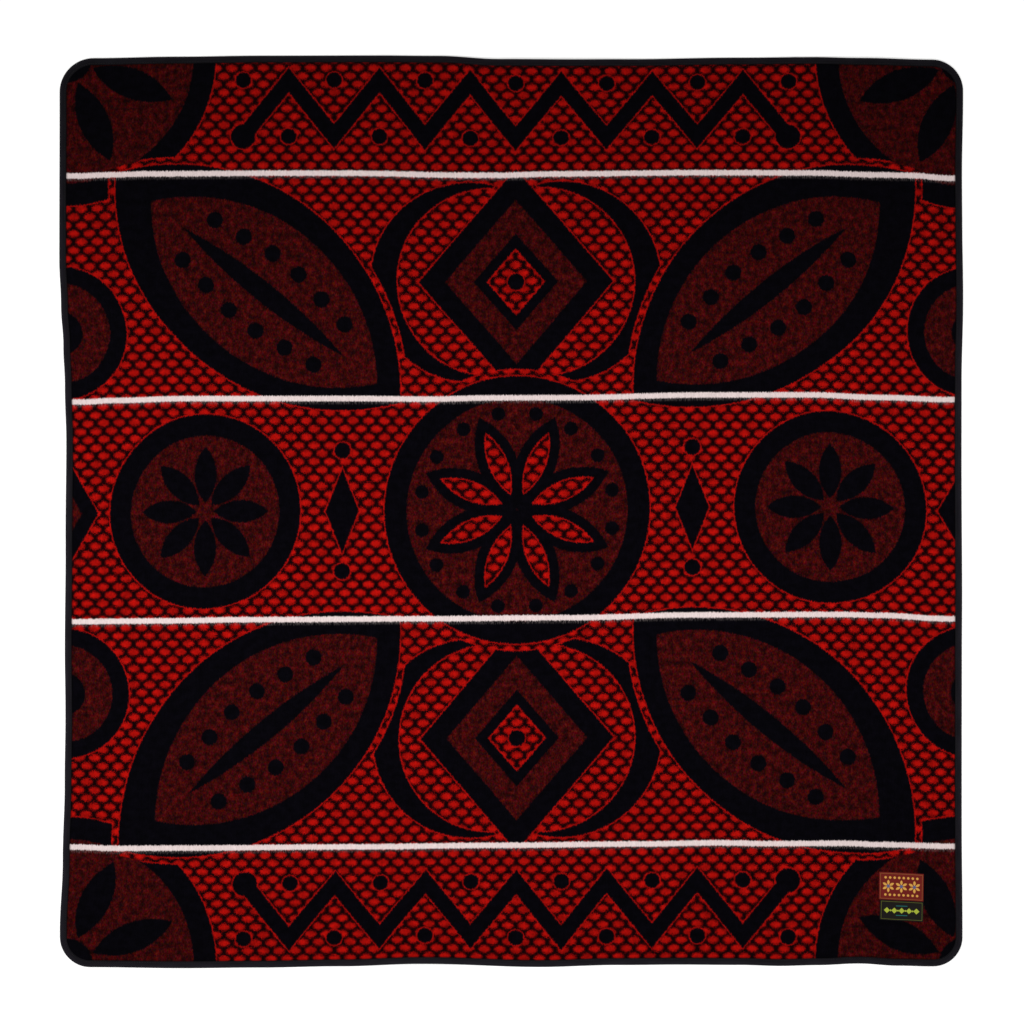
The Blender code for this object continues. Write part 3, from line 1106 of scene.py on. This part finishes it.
def label_point(label, x, y, height):
    """A point of a label, read from its own middle, where it is sewn on."""
    turn = radians(label.turn_degrees)
    return placed(
        label.centre_x + x * cos(turn) - y * sin(turn),
        label.centre_y + x * sin(turn) + y * cos(turn),
        height,
    )


def label_height(label, x, y):
    """Height of a label's upper face: turned-under edges, dimples along its seam and a slight swell."""
    inset = min(label.width / 2 - abs(x), label.height / 2 - abs(y))
    thick = sizes().label_thick / MM
    rounded = 0.45 * (1 - smooth(0, 0.9, inset))
    turned_under = 0.22 * (1 - smooth(3.2, 4.2, inset))
    seam = 0.3 * exp(-(((inset - LABEL_SEAM_INSET) / 0.7) ** 2))
    swell = uneven(x + label.centre_y, y, LABEL_SWELL) * smooth(1.0, 5.0, inset)
    return LABEL_BASE + thick + turned_under - rounded - seam + swell


def label_cell(label, x, y):
    """A label's two faces at one place."""
    upper = label_point(label, x, y, label_height(label, x, y))
    return Cell(upper, label_point(label, x, y, LABEL_BASE), (x * MM, y * MM))


def make_label(label, ground, threads, ornament):
    """A woven label with its edges turned under, sewn down all round in thread of its own colour."""
    stitch_material = sewing_thread(label.thread, ground)
    columns = spaced(label.width / 2, LABEL_EDGE, LABEL_STEP)
    rows = [
        [label_cell(label, x, y) for x in columns] for y in spaced(label.height / 2, LABEL_EDGE, LABEL_STEP)
    ]
    face = woven_label(label, ground, threads, ornament)
    piece = show(label.piece, closed_sheet(label.piece, rows), face)
    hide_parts(label.node)

    reach_x, reach_y = label.width / 2 - LABEL_SEAM_INSET, label.height / 2 - LABEL_SEAM_INSET
    places = []
    for half_run, offset, quarter_turn in ((reach_x, reach_y, 0), (reach_y, reach_x, 90)):
        turn = Matrix.Rotation(radians(label.turn_degrees + quarter_turn), 4, "Z")
        steps = round(2 * half_run / LABEL_STITCH_STEP)
        for index, side in product(range(steps), (1, -1)):
            along = -half_run + 2 * half_run * (index + 0.5) / steps
            x, y = (side * offset, along) if quarter_turn else (along, side * offset)
            spot = label_point(label, x, y, label_height(label, x, y) + LABEL_STITCH_RAISED)
            places.append(Matrix.Translation(spot) @ turn @ Matrix.Scale(LABEL_STITCH_SCALE, 4))
    lay_stitches(label.stitches, places, stitch_material)


def make_labels():
    """Both woven labels."""
    chosen = colours()
    make_label(UPPER_LABEL, chosen.upper_label, (chosen.gold, chosen.slate), upper_ornament)
    make_label(LOWER_LABEL, chosen.lower_label, (chosen.green, chosen.teal), lower_ornament)


def make_studio():
    """A plain pale floor, soft light that falls off towards the blanket's top, and a camera overhead."""
    scene = bpy.context.scene
    bpy.ops.object.select_all(action="DESELECT")
    bpy.ops.mesh.primitive_plane_add(size=24)
    floor = bpy.context.object
    floor.name = "studio_floor"
    floor.data.materials.append(studio_floor())

    world = bpy.data.worlds.new("studio_air")
    world.use_nodes = True
    air = world.node_tree.nodes["Background"]
    air.inputs["Color"].default_value = (1, 1, 1, 1)
    air.inputs["Strength"].default_value = 0.27
    scene.world = world

    bpy.ops.object.light_add(type="AREA", location=(-0.35, -0.2, 1.6))
    soft_box = bpy.context.object
    soft_box.name = "soft_box"
    soft_box.data.shape = "RECTANGLE"
    soft_box.data.size = 3.6
    soft_box.data.size_y = 0.9
    soft_box.data.energy = 38
    soft_box.visible_camera = False

    bpy.ops.object.camera_add(location=(0.0014, -0.0003, 4.259), rotation=(0, 0, 0))
    camera = bpy.context.object
    camera.name = "overhead_camera"
    camera.data.lens = 85
    camera.data.sensor_width = 36
    scene.camera = camera
    scene.view_settings.view_transform = "Standard"


class BLANKET_OT_binding(bpy.types.Operator):
    """Folds the cotton tape over the blanket's edge"""

    bl_idname = "blanket.binding"
    bl_label = "Edge Tape"

    def execute(self, context):
        make_binding()
        return {"FINISHED"}


class BLANKET_OT_tape_stitches(bpy.types.Operator):
    """Sews the tape down on both faces"""

    bl_idname = "blanket.tape_stitches"
    bl_label = "Tape Stitches"

    def execute(self, context):
        make_tape_stitches()
        return {"FINISHED"}


class BLANKET_OT_labels(bpy.types.Operator):
    """Sews the two woven labels on, near the lower right corner"""

    bl_idname = "blanket.labels"
    bl_label = "Labels"

    def execute(self, context):
        make_labels()
        return {"FINISHED"}


class BLANKET_OT_cloth(bpy.types.Operator):
    """Lays the wool cloth; the tape and the labels are made before it"""

    bl_idname = "blanket.cloth"
    bl_label = "Wool Cloth"

    def execute(self, context):
        make_cloth()
        return {"FINISHED"}


class BLANKET_OT_studio(bpy.types.Operator):
    """Adds the floor, the light and the camera"""

    bl_idname = "blanket.studio"
    bl_label = "Studio"

    def execute(self, context):
        make_studio()
        return {"FINISHED"}


OPERATORS = (
    BLANKET_OT_binding,
    BLANKET_OT_tape_stitches,
    BLANKET_OT_labels,
    BLANKET_OT_cloth,
    BLANKET_OT_studio,
)


class BLANKET_PT_panel(bpy.types.Panel):
    """Sizes, colours and steps of the blanket"""

    bl_idname = "BLANKET_PT_panel"
    bl_label = "Basotho Blanket"
    bl_space_type = "VIEW_3D"
    bl_region_type = "UI"
    bl_category = "Blanket"

    def draw(self, context):
        for settings in (context.scene.blanket_sizes, context.scene.blanket_colours):
            column = self.layout.column()
            for name in settings.bl_rna.properties.keys():
                if name not in ("rna_type", "name"):
                    column.prop(settings, name)
        for operator in OPERATORS:
            self.layout.operator(operator.bl_idname)


CLASSES = (BlanketSizes, BlanketColours, *OPERATORS, BLANKET_PT_panel)


def register():
    for each in CLASSES:
        bpy.utils.register_class(each)
    bpy.types.Scene.blanket_sizes = bpy.props.PointerProperty(type=BlanketSizes)
    bpy.types.Scene.blanket_colours = bpy.props.PointerProperty(type=BlanketColours)


def unregister():
    del bpy.types.Scene.blanket_colours
    del bpy.types.Scene.blanket_sizes
    for each in reversed(CLASSES):
        bpy.utils.unregister_class(each)


def main():
    """Makes every piece in order."""
    register()
    bpy.ops.blanket.binding()
    bpy.ops.blanket.tape_stitches()
    bpy.ops.blanket.labels()
    bpy.ops.blanket.cloth()
    bpy.ops.blanket.studio()
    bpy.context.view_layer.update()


if __name__ == "__main__":
    main()
